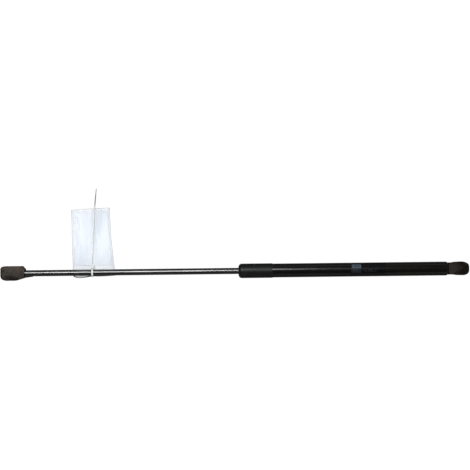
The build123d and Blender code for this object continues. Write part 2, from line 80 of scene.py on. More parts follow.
class Shader:
    """A material's node tree, with short ways to add and join nodes."""

    def __init__(self, tree):
        self.tree = tree

    def node(self, kind, inputs=None, **settings):
        made = self.tree.nodes.new(kind)
        for name, value in settings.items():
            setattr(made, name, value)
        for name, value in (inputs or {}).items():
            self.feed(made.inputs[name], value)
        return made

    def feed(self, socket, value):
        if isinstance(value, bpy.types.NodeSocket):
            self.tree.links.new(value, socket)
        else:
            socket.default_value = value

    def math(self, operation, first, second=0.0, clamp=False):
        made = self.tree.nodes.new("ShaderNodeMath")
        made.operation = operation
        made.use_clamp = clamp
        self.feed(made.inputs[0], first)
        self.feed(made.inputs[1], second)
        return made.outputs[0]

    def mix(self, share, first, second):
        made = self.tree.nodes.new("ShaderNodeMix")
        made.data_type = "RGBA"
        self.feed(made.inputs[0], share)
        self.feed(made.inputs[6], first)
        self.feed(made.inputs[7], second)
        return made.outputs[2]

    def ramp(self, value, low, high, to_low=0.0, to_high=1.0, smooth=False):
        made = self.tree.nodes.new("ShaderNodeMapRange")
        made.interpolation_type = "SMOOTHSTEP" if smooth else "LINEAR"
        for place, number in enumerate((value, low, high, to_low, to_high)):
            self.feed(made.inputs[place], number)
        return made.outputs[0]

    def noise(self, coordinates, scale, detail=3.0, roughness=0.5, distortion=0.0):
        inputs = {
            "Vector": coordinates,
            "Scale": scale,
            "Detail": detail,
            "Roughness": roughness,
            "Distortion": distortion,
        }
        return self.node("ShaderNodeTexNoise", inputs).outputs["Fac"]

    def scaled(self, coordinates, scale):
        return self.node("ShaderNodeMapping", {"Vector": coordinates, "Scale": scale}).outputs[0]

    def bump(self, height, strength, distance):
        inputs = {"Height": height, "Strength": strength, "Distance": distance}
        return self.node("ShaderNodeBump", inputs).outputs[0]

    def object_place(self):
        return self.node("ShaderNodeTexCoord").outputs["Object"]

    def split(self, vector):
        made = self.node("ShaderNodeSeparateXYZ", {"Vector": vector})
        return made.outputs[0], made.outputs[1], made.outputs[2]

    def group(self, group, inputs):
        made = self.tree.nodes.new("ShaderNodeGroup")
        made.node_tree = group
        for name, value in inputs.items():
            self.feed(made.inputs[name], value)
        return made.outputs


def new_group(name, inputs, outputs):
    """A shader node group with float inputs (and a Vector) and float outputs."""
    tree = bpy.data.node_groups.new(name, "ShaderNodeTree")
    for label, default in inputs:
        kind = "NodeSocketVector" if label == "Vector" else "NodeSocketFloat"
        socket = tree.interface.new_socket(label, in_out="INPUT", socket_type=kind)
        if default is not None:
            socket.default_value = default
    for label in outputs:
        tree.interface.new_socket(label, in_out="OUTPUT", socket_type="NodeSocketFloat")
    shader = Shader(tree)
    return tree, shader, tree.nodes.new("NodeGroupInput").outputs, tree.nodes.new("NodeGroupOutput").inputs


def new_material(name, **plain):
    """A material whose Principled shader has these plain values, its tree, and the shader's inputs."""
    material = bpy.data.materials.new(name)
    material.use_nodes = True
    tree = material.node_tree
    principled = tree.nodes["Principled BSDF"]
    for label, value in plain.items():
        principled.inputs[label.replace("_", " ")].default_value = value
    return material, Shader(tree), principled.inputs


# --------------------------------------------------------------------- shared surface effects


def dust_group():
    """Settled dust: soft drifts and fine specks."""
    inputs = [("Vector", None), ("Drift Scale", 60.0), ("Speck Scale", 900.0), ("Amount", 0.5)]
    tree, shader, given, out = new_group("settled_dust", inputs, ["Drift", "Specks"])
    drift = shader.noise(given["Vector"], given["Drift Scale"], 6.0, 0.62, 0.4)
    drift = shader.ramp(drift, 0.38, 0.72, smooth=True)
    specks = shader.noise(given["Vector"], given["Speck Scale"], 2.0, 0.6)
    specks = shader.ramp(specks, 0.6, 0.72)
    shader.feed(out["Drift"], shader.math("MULTIPLY", drift, given["Amount"], clamp=True))
    shader.feed(out["Specks"], shader.math("MULTIPLY", specks, given["Amount"], clamp=True))
    return tree


def grain_group():
    """The fine grain of a moulded or blasted surface, as a height."""
    tree, shader, given, out = new_group("fine_grain", [("Vector", None), ("Scale", 1500.0)], ["Height"])
    coarse = shader.noise(given["Vector"], given["Scale"], 2.0, 0.5)
    fine = shader.noise(given["Vector"], shader.math("MULTIPLY", given["Scale"], 2.7), 2.0, 0.6)
    shader.feed(out["Height"], shader.math("ADD", coarse, shader.math("MULTIPLY", fine, 0.5)))
    return tree


def scratch_group():
    """Fine scratches along the strut, thin across it."""
    inputs = [("Vector", None), ("Scale", 900.0), ("Length", 0.03), ("Rarity", 0.7)]
    tree, shader, given, out = new_group("handling_scratches", inputs, ["Mask"])
    x, y, z = shader.split(given["Vector"])
    stretched = shader.node(
        "ShaderNodeCombineXYZ", {"X": shader.math("MULTIPLY", x, given["Length"]), "Y": y, "Z": z}
    ).outputs[0]
    lines = shader.noise(stretched, given["Scale"], 2.0, 0.4, 0.6)
    high = shader.math("ADD", given["Rarity"], 0.06)
    shader.feed(out["Mask"], shader.ramp(lines, given["Rarity"], high))
    return tree


DUST = dust_group()
GRAIN = grain_group()
SCRATCHES = scratch_group()

# ---------------------------------------------------------------------------- the finishes


def black_paint():
    """Gloss black stoving paint with a faint orange peel, hairline marks and a little dust."""
    material, shader, inputs = new_material("black_paint", Specular_IOR_Level=0.6, Coat_Roughness=0.15)
    place = shader.object_place()
    warm = shader.ramp(shader.split(place)[0], -0.17, -0.03, smooth=True)
    base = shader.mix(warm, (0.0022, 0.0022, 0.0023, 1), (0.0028, 0.0024, 0.0014, 1))
    dust = shader.group(DUST, {"Vector": place, "Drift Scale": 45.0, "Speck Scale": 1100.0, "Amount": 0.5})
    scratches = {"Vector": place, "Scale": 1200.0, "Length": 0.04, "Rarity": 0.72}
    marks = shader.group(SCRATCHES, scratches)["Mask"]
    base = shader.mix(shader.math("MULTIPLY", dust["Specks"], 0.16), base, (0.2, 0.19, 0.17, 1))
    base = shader.mix(shader.math("MULTIPLY", marks, 0.08), base, (0.25, 0.25, 0.25, 1))
    shader.feed(inputs["Base Color"], base)
    smudge = shader.noise(place, 38.0, 2.0, 0.5, 0.5)
    rough = shader.ramp(smudge, 0.3, 0.7, 0.17, 0.22)
    rough = shader.math("ADD", rough, shader.math("MULTIPLY", dust["Drift"], 0.06))
    shader.feed(inputs["Roughness"], rough)
    dulled = shader.math("MULTIPLY", dust["Drift"], 0.12)
    shader.feed(inputs["Coat Weight"], shader.math("SUBTRACT", 0.2, dulled))
    peel = shader.noise(place, 160.0, 1.0, 0.4)
    height = shader.math("SUBTRACT", peel, shader.math("MULTIPLY", marks, 0.1))
    shader.feed(inputs["Normal"], shader.bump(height, 0.02, 0.0002))
    return material


def hard_chrome():
    """Ground and chromed rod: satin bright, with very fine rings and a few streaks from rubbing."""
    material, shader, inputs = new_material("hard_chrome", Metallic=1.0)
    place = shader.object_place()
    rings = shader.noise(shader.scaled(place, (1.0, 0.08, 0.08)), 2600.0, 3.0, 0.6)
    streaks = shader.noise(shader.scaled(place, (0.05, 1.0, 1.0)), 900.0, 3.0, 0.6)
    film = shader.noise(place, 30.0, 2.0, 0.5)
    base = shader.mix(shader.ramp(film, 0.35, 0.7), (0.19, 0.194, 0.198, 1), (0.16, 0.16, 0.157, 1))
    base = shader.mix(shader.ramp(streaks, 0.55, 0.75, 0.0, 0.15), base, (0.08, 0.078, 0.075, 1))
    shader.feed(inputs["Base Color"], base)
    shader.feed(inputs["Roughness"], shader.ramp(shader.math("ADD", film, rings), 0.7, 1.3, 0.28, 0.32))
    shader.feed(inputs["Normal"], shader.bump(rings, 0.01, 0.0001))
    return material


def collar_plastic():
    """Matt very dark grey moulded sleeve."""
    material, shader, inputs = new_material("collar_plastic", Specular_IOR_Level=0.38)
    place = shader.object_place()
    clouds = shader.noise(place, 60.0, 4.0, 0.6)
    base = shader.mix(shader.ramp(clouds, 0.35, 0.7), (0.0036, 0.0044, 0.004, 1), (0.0058, 0.0066, 0.0062, 1))
    dust = shader.group(DUST, {"Vector": place, "Drift Scale": 80.0, "Speck Scale": 1200.0, "Amount": 0.6})
    base = shader.mix(shader.math("MULTIPLY", dust["Specks"], 0.1), base, (0.1, 0.1, 0.09, 1))
    rubs = shader.group(SCRATCHES, {"Vector": place, "Scale": 800.0, "Length": 0.1, "Rarity": 0.68})["Mask"]
    base = shader.mix(shader.math("MULTIPLY", rubs, 0.1), base, (0.08, 0.08, 0.08, 1))
    shader.feed(inputs["Base Color"], base)
    shader.feed(inputs["Roughness"], shader.ramp(clouds, 0.3, 0.7, 0.4, 0.5))
    grain = shader.group(GRAIN, {"Vector": place, "Scale": 1600.0})["Height"]
    shader.feed(inputs["Normal"], shader.bump(grain, 0.25, 0.0002))
    return material


def socket_plastic(
    name, body, patch, dirt, dirt_share, speck_share, rough, shade_tone, shade_from, shade_to, axis
):
    """Moulded ball socket plastic, dull with dust and rusty specks, and with painted shade: darker along one
    axis, on the rod end's socket towards its lower side away from the lamp, on the tube end's socket along
    the strut.
    """
    material, shader, inputs = new_material(name, Specular_IOR_Level=0.22)
    place = shader.object_place()
    clouds = shader.noise(place, 150.0, 5.0, 0.62, 0.5)
    base = shader.mix(shader.ramp(clouds, 0.35, 0.68), body, patch)
    # Painted shade: along one axis the base fades into a darker tone, standing for the side turned away from
    # the lamp.
    along = shader.split(place)[axis]
    ragged = shader.math("ADD", along, shader.math("MULTIPLY", clouds, 3 * MM))
    shade_share = shader.ramp(ragged, shade_from + 1.5 * MM, shade_to + 1.5 * MM, smooth=True)
    base = shader.mix(shade_share, base, shade_tone)
    dust = shader.group(DUST, {"Vector": place, "Drift Scale": 170.0, "Speck Scale": 900.0, "Amount": 1.0})
    base = shader.mix(shader.math("MULTIPLY", dust["Drift"], dirt_share), base, dirt)
    base = shader.mix(shader.math("MULTIPLY", dust["Specks"], speck_share), base, (0.21, 0.12, 0.06, 1))
    pits = shader.ramp(shader.noise(place, 520.0, 3.0, 0.6), 0.62, 0.7)
    base = shader.mix(shader.math("MULTIPLY", pits, 0.5), base, (0.012, 0.01, 0.008, 1))
    shader.feed(inputs["Base Color"], base)
    rough = shader.math("ADD", rough, shader.math("MULTIPLY", dust["Drift"], 0.3))
    shader.feed(inputs["Roughness"], rough)
    grain = shader.group(GRAIN, {"Vector": place, "Scale": 1100.0})["Height"]
    height = shader.math("SUBTRACT", grain, shader.math("MULTIPLY", pits, 0.8))
    shader.feed(inputs["Normal"], shader.bump(height, 0.4, 0.00025))
    return material


def metal(name, light, dark, rough_low, rough_high, stretch=(1.0, 1.0, 1.0), scale=500.0):
    """Bare metal with turning or rolling marks along one direction."""
    material, shader, inputs = new_material(name, Metallic=1.0)
    place = shader.object_place()
    marks = shader.noise(shader.scaled(place, stretch), scale, 3.0, 0.6)
    stain = shader.noise(place, 220.0, 4.0, 0.6)
    shader.feed(inputs["Base Color"], shader.mix(shader.ramp(stain, 0.35, 0.7), light, dark))
    shader.feed(inputs["Roughness"], shader.ramp(marks, 0.3, 0.7, rough_low, rough_high))
    shader.feed(inputs["Normal"], shader.bump(marks, 0.2, 0.0001))
    return material


def rubber():
    """Black moulded rubber with a waxy bloom."""
    material, shader, inputs = new_material("rubber")
    place = shader.object_place()
    bloom = shader.noise(place, 260.0, 4.0, 0.6)
    base = shader.mix(shader.ramp(bloom, 0.4, 0.7), (0.014, 0.014, 0.014, 1), (0.03, 0.03, 0.032, 1))
    shader.feed(inputs["Base Color"], base)
    shader.feed(inputs["Roughness"], shader.ramp(bloom, 0.3, 0.7, 0.55, 0.75))
    grain = shader.group(GRAIN, {"Vector": place, "Scale": 1400.0})["Height"]
    shader.feed(inputs["Normal"], shader.bump(grain, 0.2, 0.0002))
    return material


def ring_plastic():
    """Off-white low-friction plastic."""
    material, shader, inputs = new_material("ring_plastic")
    place = shader.object_place()
    clouds = shader.noise(place, 300.0, 3.0, 0.5)
    shader.feed(inputs["Base Color"], shader.mix(clouds, (0.7, 0.69, 0.64, 1), (0.8, 0.79, 0.75, 1)))
    shader.feed(inputs["Roughness"], shader.ramp(clouds, 0.3, 0.7, 0.35, 0.5))
    return material


def label_film():
    """Dark printed film with a plain blue panel and plain bars, and nothing to read."""
    material, shader, inputs = new_material("label_film", Specular_IOR_Level=0.4)
    place = shader.object_place()
    x, y, z = shader.split(place)
    turn = shader.math("ARCTAN2", y, z)
    across = shader.math("MULTIPLY", turn, TUBE_R)
    start_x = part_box("type_label")[0].x

    def panel(x_start, x_end, across_start, across_end, soft=0.12 * MM):
        """1 inside a rectangle of the film, measured along the tube and round it."""
        in_x = shader.math(
            "MULTIPLY",
            shader.ramp(x, x_start, x_start + soft),
            shader.ramp(x, x_end, x_end - soft),
        )
        in_turn = shader.math(
            "MULTIPLY",
            shader.ramp(across, across_start, across_start + soft),
            shader.ramp(across, across_end, across_end - soft),
        )
        return shader.math("MULTIPLY", in_x, in_turn)

    faded = shader.noise(place, 260.0, 4.0, 0.6)
    base = shader.mix(shader.ramp(faded, 0.35, 0.7), (0.0018, 0.002, 0.0024, 1), (0.0028, 0.0031, 0.0038, 1))
    end = panel(start_x, start_x + 13.0 * MM, -4.0 * MM, 14.0 * MM)
    base = shader.mix(shader.math("MULTIPLY", end, 0.9), base, (0.011, 0.0135, 0.018, 1))
    panel_x = start_x + 1.4 * MM
    blue = panel(panel_x, panel_x + 11.5 * MM, 2.2 * MM, 7.2 * MM)
    base = shader.mix(shader.math("MULTIPLY", blue, 0.9), base, (0.07, 0.095, 0.12, 1))
    inner = panel(panel_x + 1.3 * MM, panel_x + 10.2 * MM, 3.4 * MM, 6.0 * MM)
    base = shader.mix(shader.math("MULTIPLY", inner, 0.8), base, (0.02, 0.035, 0.06, 1))
    # Each bar's start and end along the tube, then round it, in millimetres.
    bars = [
        (1.4, 11.0, 0.3, 0.9),
        (1.4, 8.0, -1.2, -0.6),
        (1.4, 10.0, -2.6, -2.0),
        (15.0, 20.0, -0.9, -0.2),
        (21.5, 28.0, -1.0, 0.3),
        (29.5, 33.0, -0.9, -0.2),
        (16.0, 31.0, -2.6, -2.1),
    ]
    for start, end, across_start, across_end in bars:
        bar = panel(start_x + start * MM, start_x + end * MM, across_start * MM, across_end * MM)
        base = shader.mix(shader.math("MULTIPLY", bar, 0.75), base, (0.023, 0.028, 0.035, 1))
    worn = shader.ramp(shader.noise(place, 700.0, 3.0, 0.6), 0.56, 0.66)
    base = shader.mix(shader.math("MULTIPLY", worn, 0.35), base, (0.006, 0.007, 0.008, 1))
    shader.feed(inputs["Base Color"], base)
    shader.feed(inputs["Roughness"], shader.ramp(faded, 0.3, 0.7, 0.2, 0.28))
    ripple = shader.noise(place, 300.0, 2.0, 0.4)
    shader.feed(inputs["Normal"], shader.bump(ripple, 0.1, 0.0002))
    return material


def nylon():
    """Natural nylon, milky and a little see-through, with painted shade darkening the tail's free end."""
    material, shader, inputs = new_material("nylon", Transmission_Weight=0.3, IOR=1.5)
    place = shader.object_place()
    clouds = shader.noise(place, 400.0, 3.0, 0.5)
    base = shader.mix(clouds, (0.76, 0.78, 0.79, 1), (0.88, 0.89, 0.9, 1))
    # Painted shade: past about 76 mm the tail is darkened to stand for the dark refraction along its thin
    # edges.
    painted_tip_shade = shader.ramp(shader.split(place)[1], 0.076, 0.1, smooth=True)
    base = shader.mix(painted_tip_shade, base, (0.12, 0.123, 0.126, 1))
    shader.feed(inputs["Base Color"], base)
    shader.feed(inputs["Roughness"], shader.ramp(clouds, 0.3, 0.7, 0.28, 0.42))
    return material


def clear_film():
    """Thin clear film, faintly blue, creased by handling, with painted shade darkening its rim and lower lip
    where the folded edge and the shade under it show dark, and a little greyer along its seals.
    """
    material, shader, inputs = new_material("clear_film", Specular_IOR_Level=0.35)
    place = shader.object_place()
    creases = shader.noise(shader.scaled(place, (1.0, 0.15, 1.0)), 70.0, 1.0, 0.3, 0.4)
    rim = shader.node("ShaderNodeAttribute", attribute_name="rim").outputs["Fac"]
    base = shader.mix(shader.ramp(creases, 0.3, 0.7), (0.66, 0.705, 0.77, 1), (0.8, 0.84, 0.9, 1))
    # Painted shade: the rim attribute darkens the film along its outline and lower lip, for the shade and the
    # dark refraction at its folded edge.
    base = shader.mix(rim, base, (0.04, 0.043, 0.05, 1))
    shader.feed(inputs["Base Color"], base)
    clear = shader.ramp(creases, 0.3, 0.7, 0.43, 0.31)
    shader.feed(inputs["Alpha"], shader.math("ADD", clear, shader.math("MULTIPLY", rim, 0.55), clamp=True))
    shader.feed(inputs["Roughness"], shader.ramp(creases, 0.3, 0.7, 0.12, 0.26))
    shader.feed(inputs["Normal"], shader.bump(creases, 0.12, 0.0006))
    return material


def card():
    """Plain white card."""
    material, shader, inputs = new_material("card", Roughness=0.85)
    place = shader.object_place()
    pulp = shader.noise(place, 900.0, 4.0, 0.7)
    shader.feed(inputs["Base Color"], shader.mix(pulp, (0.81, 0.845, 0.893, 1), (0.83, 0.86, 0.907, 1)))
    shader.feed(inputs["Normal"], shader.bump(pulp, 0.04, 0.0001))
    return material


STEEL = metal("steel", (0.5, 0.5, 0.51, 1), (0.38, 0.38, 0.38, 1), 0.25, 0.42)
GUIDE_ALLOY = metal("guide_alloy", (0.62, 0.62, 0.64, 1), (0.5, 0.5, 0.5, 1), 0.32, 0.5)
BRONZE = metal("bearing_bronze", (0.5, 0.36, 0.18, 1), (0.4, 0.29, 0.15, 1), 0.25, 0.4)
SPRING_STEEL = metal("spring_steel", (0.16, 0.16, 0.13, 1), (0.07, 0.055, 0.04, 1), 0.42, 0.62)
RUBBER = rubber()
RING_PLASTIC = ring_plastic()
CHROME = hard_chrome()

FINISHES = {
    "pressure_tube": black_paint(),
    "tube_collar": collar_plastic(),
    "type_label": label_film(),
    "piston_rod": CHROME,
    "end_plug": STEEL,
    "end_plug_seal": RUBBER,
    "front_washer": STEEL,
    "rod_seal": RUBBER,
    "backing_washer": STEEL,
    "guide_bush": GUIDE_ALLOY,
    "guide_bearing": BRONZE,
    "stop_ring": RING_PLASTIC,
    "piston_front_disc": STEEL,
    "piston": GUIDE_ALLOY,
    "piston_ring": RING_PLASTIC,
    "piston_back_disc": STEEL,
    "rod_socket": socket_plastic(
        "rod_socket_plastic",
        (0.038, 0.0275, 0.021, 1),
        (0.053, 0.041, 0.034, 1),
        (0.085, 0.072, 0.062, 1),
        dirt_share=0.4,
        speck_share=0.45,
        rough=0.5,
        # Painted shade on the lower side, away from the lamp, from y = 10 mm down to -6 mm.
        shade_tone=(0.0075, 0.0062, 0.0052, 1),
        shade_from=10.0 * MM,
        shade_to=-6.0 * MM,
        axis=1,
    ),
    "tube_socket": socket_plastic(
        "tube_socket_plastic",
        (0.0105, 0.0068, 0.0044, 1),
        (0.016, 0.0108, 0.0078, 1),
        (0.024, 0.017, 0.012, 1),
        dirt_share=0.3,
        speck_share=0.12,
        rough=0.36,
        # Painted shade, darker along the strut from x = -9 mm to -2 mm.
        shade_tone=(0.0033, 0.0021, 0.0011, 1),
        shade_from=-9.0 * MM,
        shade_to=-2.0 * MM,
        axis=0,
    ),
    "rod_socket_clip": SPRING_STEEL,
    "tube_socket_clip": SPRING_STEEL,
    "cable_tie": nylon(),
    "tag_pouch": clear_film(),
    "tag_card": card(),
}

for name, material in FINISHES.items():
    mesh = nodes[name].data
    mesh.materials.clear()
    mesh.materials.append(material)

# ------------------------------------------------------------------------ the tag and its tie


def curve_through(points, at):
    """The height at a place of a smooth line through (place, height) points."""
    last = len(points) - 1
    if at <= points[0][0]:
        return points[0][1]
    if at >= points[last][0]:
        return points[last][1]
    step = max(number for number in range(last) if points[number][0] <= at)

    def slope(number):
        before, after = points[max(number - 1, 0)], points[min(number + 1, last)]
        return (after[1] - before[1]) / (after[0] - before[0])

    (x0, y0), (x1, y1) = points[step], points[step + 1]
    width = x1 - x0
    t = (at - x0) / width
    rise = y0 * (1 + 2 * t) * (1 - t) ** 2 + y1 * t * t * (3 - 2 * t)
    return rise + width * (slope(step) * t * (1 - t) ** 2 - slope(step + 1) * t * t * (1 - t))


def smooth_step(value, low, high):
    t = min(max((value - low) / (high - low), 0.0), 1.0)
    return t * t * (3 - 2 * t)


# The tag's edges, in millimetres: along the strut from the rod end's ball, and across it.
TAG_BOTTOM = [(0.0, -4.4), (0.05, -6.4), (0.16, -7.0), (0.3, -6.5), (0.46, -5.1), (0.6, -5.3), (1.0, -4.4)]
TAG_TOP = [(0.0, 81.6), (0.5, 83.4), (1.0, 84.2)]
TAG_LEFT = [(-7.0, 84.9), (20.0, 84.2), (82.0, 82.4)]
TAG_RIGHT = [(-5.0, 139.8), (5.4, 139.0), (48.0, 134.4), (84.5, 132.9)]
# How high the tag's waves stand along its width, in millimetres.
TAG_WAVES = [
    (0.0, 0.1),
    (0.08, 0.0),
    (0.22, 1.3),
    (0.34, 0.9),
    (0.46, 0.0),
    (0.56, 0.1),
    (0.66, 1.2),
    (0.78, 0.3),
    (0.9, 1.0),
    (1.0, 0.3),
]
WAVE_START, WAVE_FULL = 6.0, 34.0  # across the strut
LIP_START, LIP_END = 3.6, 7.0  # behind the rod, where the lip turns up
LIP_RISE = 0.5 * MM
TABLE_GAP = 0.05 * MM
RAMP_START, RAMP_END = 0.0, 74.0
UNDER_ROD_Z = -4.4 * MM
POUCH_HALF = 0.22 * MM
SEAL_HALF = 0.04 * MM
CARD_HALF = 0.07 * MM
CARD_BOTTOM, CARD_TOP = 9.0, 79.0
CARD_MARGIN = 0.042  # of the tag's width


def tag_place(across, up):
    """A point of the tag's middle surface, from shares of its width and height."""
    y = curve_through(TAG_BOTTOM, across) * (1 - up) + curve_through(TAG_TOP, across) * up
    left, right = curve_through(TAG_LEFT, y), curve_through(TAG_RIGHT, y)
    x = left + (right - left) * across
    lying = smooth_step(y, RAMP_START, RAMP_END)
    wave = curve_through(TAG_WAVES, across + 0.03 * math.sin(4.0 * up)) * MM
    wave *= smooth_step(y, WAVE_START, WAVE_FULL) * (0.75 + 0.25 * math.cos(3.0 * up))
    low = TABLE_Z + POUCH_HALF + TABLE_GAP
    z = UNDER_ROD_Z * (1 - lying) + low * lying + max(wave, 0.0)
    z += LIP_RISE * smooth_step(-y, LIP_START, LIP_END)
    return Vector((ROD_BALL_X + x * MM, y * MM, z)), y


def new_piece(name, shape, material, body, node):
    """An object from a finished bmesh, in place, riding on a body and standing for a node."""
    mesh = bpy.data.meshes.new(name)
    shape.to_mesh(mesh)
    shape.free()
    mesh.materials.append(material)
    piece = bpy.data.objects.new(name, mesh)
    bpy.context.scene.collection.objects.link(piece)
    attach(piece, body)
    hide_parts(node)
    return piece


def pillow(shape, half_height, across_range, up_of, steps, rim_shade_and_seals_of=lambda across, up, y: 0.0):
    """Two sheets, one above the other, joined at their rims. half_height gives the gap's half."""
    columns, rows = steps
    # The rim layer marks where the film's outline is painted dark as shade.
    rim_layer = shape.verts.layers.float.new("rim")
    for side in (1, -1):
        made = bmesh.ops.create_grid(shape, x_segments=columns, y_segments=rows, size=0.5)["verts"]
        for vert in made:
            across = across_range[0] + (vert.co.x + 0.5) * (across_range[1] - across_range[0])
            up = up_of(across, vert.co.y + 0.5)
            place, y = tag_place(across, up)
            vert.co = place + Vector((0, 0, side * half_height(across, up, y)))
            vert[rim_layer] = rim_shade_and_seals_of(across, up, y)
        if side < 0:
            flipped = {face for vert in made for face in vert.link_faces}
            bmesh.ops.reverse_faces(shape, faces=list(flipped))
    rims = [edge for edge in shape.edges if edge.is_boundary]
    bmesh.ops.bridge_loops(shape, edges=rims)
    bmesh.ops.recalc_face_normals(shape, faces=shape.faces)
    for face in shape.faces:
        face.smooth = True


def pouch():
    """The clear pouch: two films, sealed round the edge and below the card."""
    shape = bmesh.new()

    def half_height(across, up, y):
        rim = min(across, 1 - across) / CARD_MARGIN
        inside = smooth_step(rim, 0.4, 1.0) * smooth_step(y, CARD_BOTTOM - 2.5, CARD_BOTTOM)
        inside *= smooth_step(1 - up, 0.004, 0.03)
        return SEAL_HALF + (POUCH_HALF - SEAL_HALF) * inside

    def rim_shade_and_seals_of(across, up, y):
        """Painted shade: 1 at the outline and the lower lip; and a little along the film's own seals beside
        the card.
        """
        sides = smooth_step(0.022 - min(across, 1 - across), 0.0, 0.022)
        lip = smooth_step(-y, 2.0, 4.0)
        ends = smooth_step(0.013 + 0.01 * lip - min(up, 1 - up), 0.0, 0.013)
        seams = (CARD_BOTTOM, CARD_TOP, CARD_TOP + 2.6)
        seals = max(smooth_step(0.9 - abs(y - at), 0.0, 0.9) for at in seams)
        seals = max(seals, smooth_step(0.02 - abs(min(across, 1 - across) - CARD_MARGIN), 0.0, 0.02))
        return max(sides, ends) * (0.45 + 0.55 * lip) + 0.07 * seals * (1 - max(sides, ends))

    pillow(shape, half_height, (0, 1), lambda across, up: up, (90, 140), rim_shade_and_seals_of)
    return new_piece("clear_pouch", shape, FINISHES["tag_pouch"], "tag", "tag_pouch")


def stock_card():
    """The blank card inside the pouch."""
    shape = bmesh.new()

    def up_of(across, share):
        bottom, top = curve_through(TAG_BOTTOM, across), curve_through(TAG_TOP, across)
        y = CARD_BOTTOM + share * (CARD_TOP - CARD_BOTTOM)
        return (y - bottom) / (top - bottom)

    pillow(shape, lambda across, up, y: CARD_HALF, (CARD_MARGIN, 1 - CARD_MARGIN), up_of, (50, 70))
    return new_piece("blank_card", shape, FINISHES["tag_card"], "tag", "tag_card")


TIE_WIDTH = 2.2 * MM
TIE_THICK = 0.95 * MM
LOOP_R = 4.62 * MM
LOOP_DROP = 0.5 * MM
HEAD_MIDDLE = Vector((0, 7.42, 0.7)) * MM
TAIL_START, TAIL_TIP = 9.0, 109.2
# The tail's run, in millimetres across the strut: how far it drifts, and how high it is.
TAIL_DRIFT = [(5.0, -0.6), (13.5, -1.4), (33.0, -0.3), (60.0, 0.8), (75.0, 1.5), (84.0, 2.5), (109.4, 5.0)]
TAIL_HEIGHT = [
    (5.0, 0.9),
    (11.0, 0.55),
    (25.0, -1.6),
    (45.0, -4.5),
    (70.0, -6.5),
    (90.0, -7.7),
    (109.4, -8.4),
]
TAIL_ROWS = 156
TAPER = 20.0
TAIL_SHARE, TIP_SHARE = 0.82, 0.3  # of the strap's width
TOOTH_DEPTH = 0.28 * MM
TOOTHED_SHARE = 0.36  # of the strap's width, either side of its middle
LOOP_STEPS = 56
LOOP_EDGE = 0.22 * MM
HEAD_EDGE = 0.5 * MM
MOUTH_RIM = 0.45 * MM
MOUTH_DEPTH = 1.3 * MM


def tie_tail(shape):
    """The strap's loose end: flat on top, toothed below, and drawn to a point."""
    made = bmesh.ops.create_grid(shape, x_segments=6, y_segments=TAIL_ROWS, size=0.5)["verts"]
    for vert in made:
        share_x, share_y = vert.co.x, vert.co.y + 0.5
        y = TAIL_START + share_y * (TAIL_TIP - TAIL_START)
        taper = min(TAIL_SHARE, TIP_SHARE + (TAIL_SHARE - TIP_SHARE) * (TAIL_TIP - y) / TAPER)
        x = share_x * TIE_WIDTH * taper + curve_through(TAIL_DRIFT, y) * MM
        vert.co = (TIE_X + x, y * MM, curve_through(TAIL_HEIGHT, y) * MM)
    below = bmesh.ops.extrude_face_region(shape, geom=list(shape.faces))["geom"]
    lowered = [item for item in below if isinstance(item, bmesh.types.BMVert)]
    for vert in lowered:
        y = vert.co.y / MM
        row = round((y - TAIL_START) / (TAIL_TIP - TAIL_START) * TAIL_ROWS)
        off_middle = abs(vert.co.x - TIE_X - curve_through(TAIL_DRIFT, y) * MM)
        toothed = off_middle < TOOTHED_SHARE * TIE_WIDTH and y < TAIL_TIP - 0.5 * TAPER
        vert.co.z -= TIE_THICK - (TOOTH_DEPTH if toothed and row % 2 else 0.0)


def tie_loop(shape):
    """The strap round the rod and the tag's edge."""
    corners = [(-0.5, 0.0), (0.5, 0.0), (0.5, 1.0), (-0.5, 1.0)]
    places = [(TIE_X + x * TIE_WIDTH, 0, LOOP_R + height * TIE_THICK) for x, height in corners]
    face = shape.faces.new([shape.verts.new(place) for place in places])
    bmesh.ops.bevel(
        shape,
        geom=list(face.verts),
        offset=LOOP_EDGE,
        segments=2,
        profile=0.5,
        affect="VERTICES",
        material=-1,
    )
    bmesh.ops.delete(shape, geom=list(shape.faces), context="FACES_ONLY")
    bmesh.ops.spin(
        shape,
        geom=list(shape.verts) + list(shape.edges),
        cent=(0, 0, 0),
        axis=(1, 0, 0),
        angle=math.tau,
        steps=LOOP_STEPS,
        use_merge=True,
    )
    bmesh.ops.remove_doubles(shape, verts=shape.verts, dist=0.001 * MM)
    bmesh.ops.translate(shape, verts=shape.verts, vec=(0, 0, -LOOP_DROP))


def tie_head(shape):
    """The ratchet box, with a mouth on each side for the tail."""
    made = bmesh.ops.create_cube(shape, size=1.0)["verts"]
    bmesh.ops.scale(shape, vec=HEAD_SIZE, verts=made)
    bmesh.ops.translate(shape, vec=Vector((TIE_X, 0, 0)) + HEAD_MIDDLE, verts=made)
    bmesh.ops.bevel(
        shape,
        geom=list(shape.edges),
        offset=HEAD_EDGE,
        segments=3,
        profile=0.5,
        affect="EDGES",
        material=-1,
    )
    for direction in (1, -1):
        mouth = max(
            shape.faces, key=lambda face: (face.calc_center_median().y * direction, face.calc_area())
        )
        bmesh.ops.inset_region(shape, faces=[mouth], thickness=MOUTH_RIM)
        pushed = bmesh.ops.extrude_face_region(shape, geom=[mouth])["geom"]
        deep = [item for item in pushed if isinstance(item, bmesh.types.BMVert)]
        bmesh.ops.delete(shape, geom=[mouth], context="FACES_ONLY")
        bmesh.ops.translate(shape, vec=(0, -direction * MOUTH_DEPTH, 0), verts=deep)


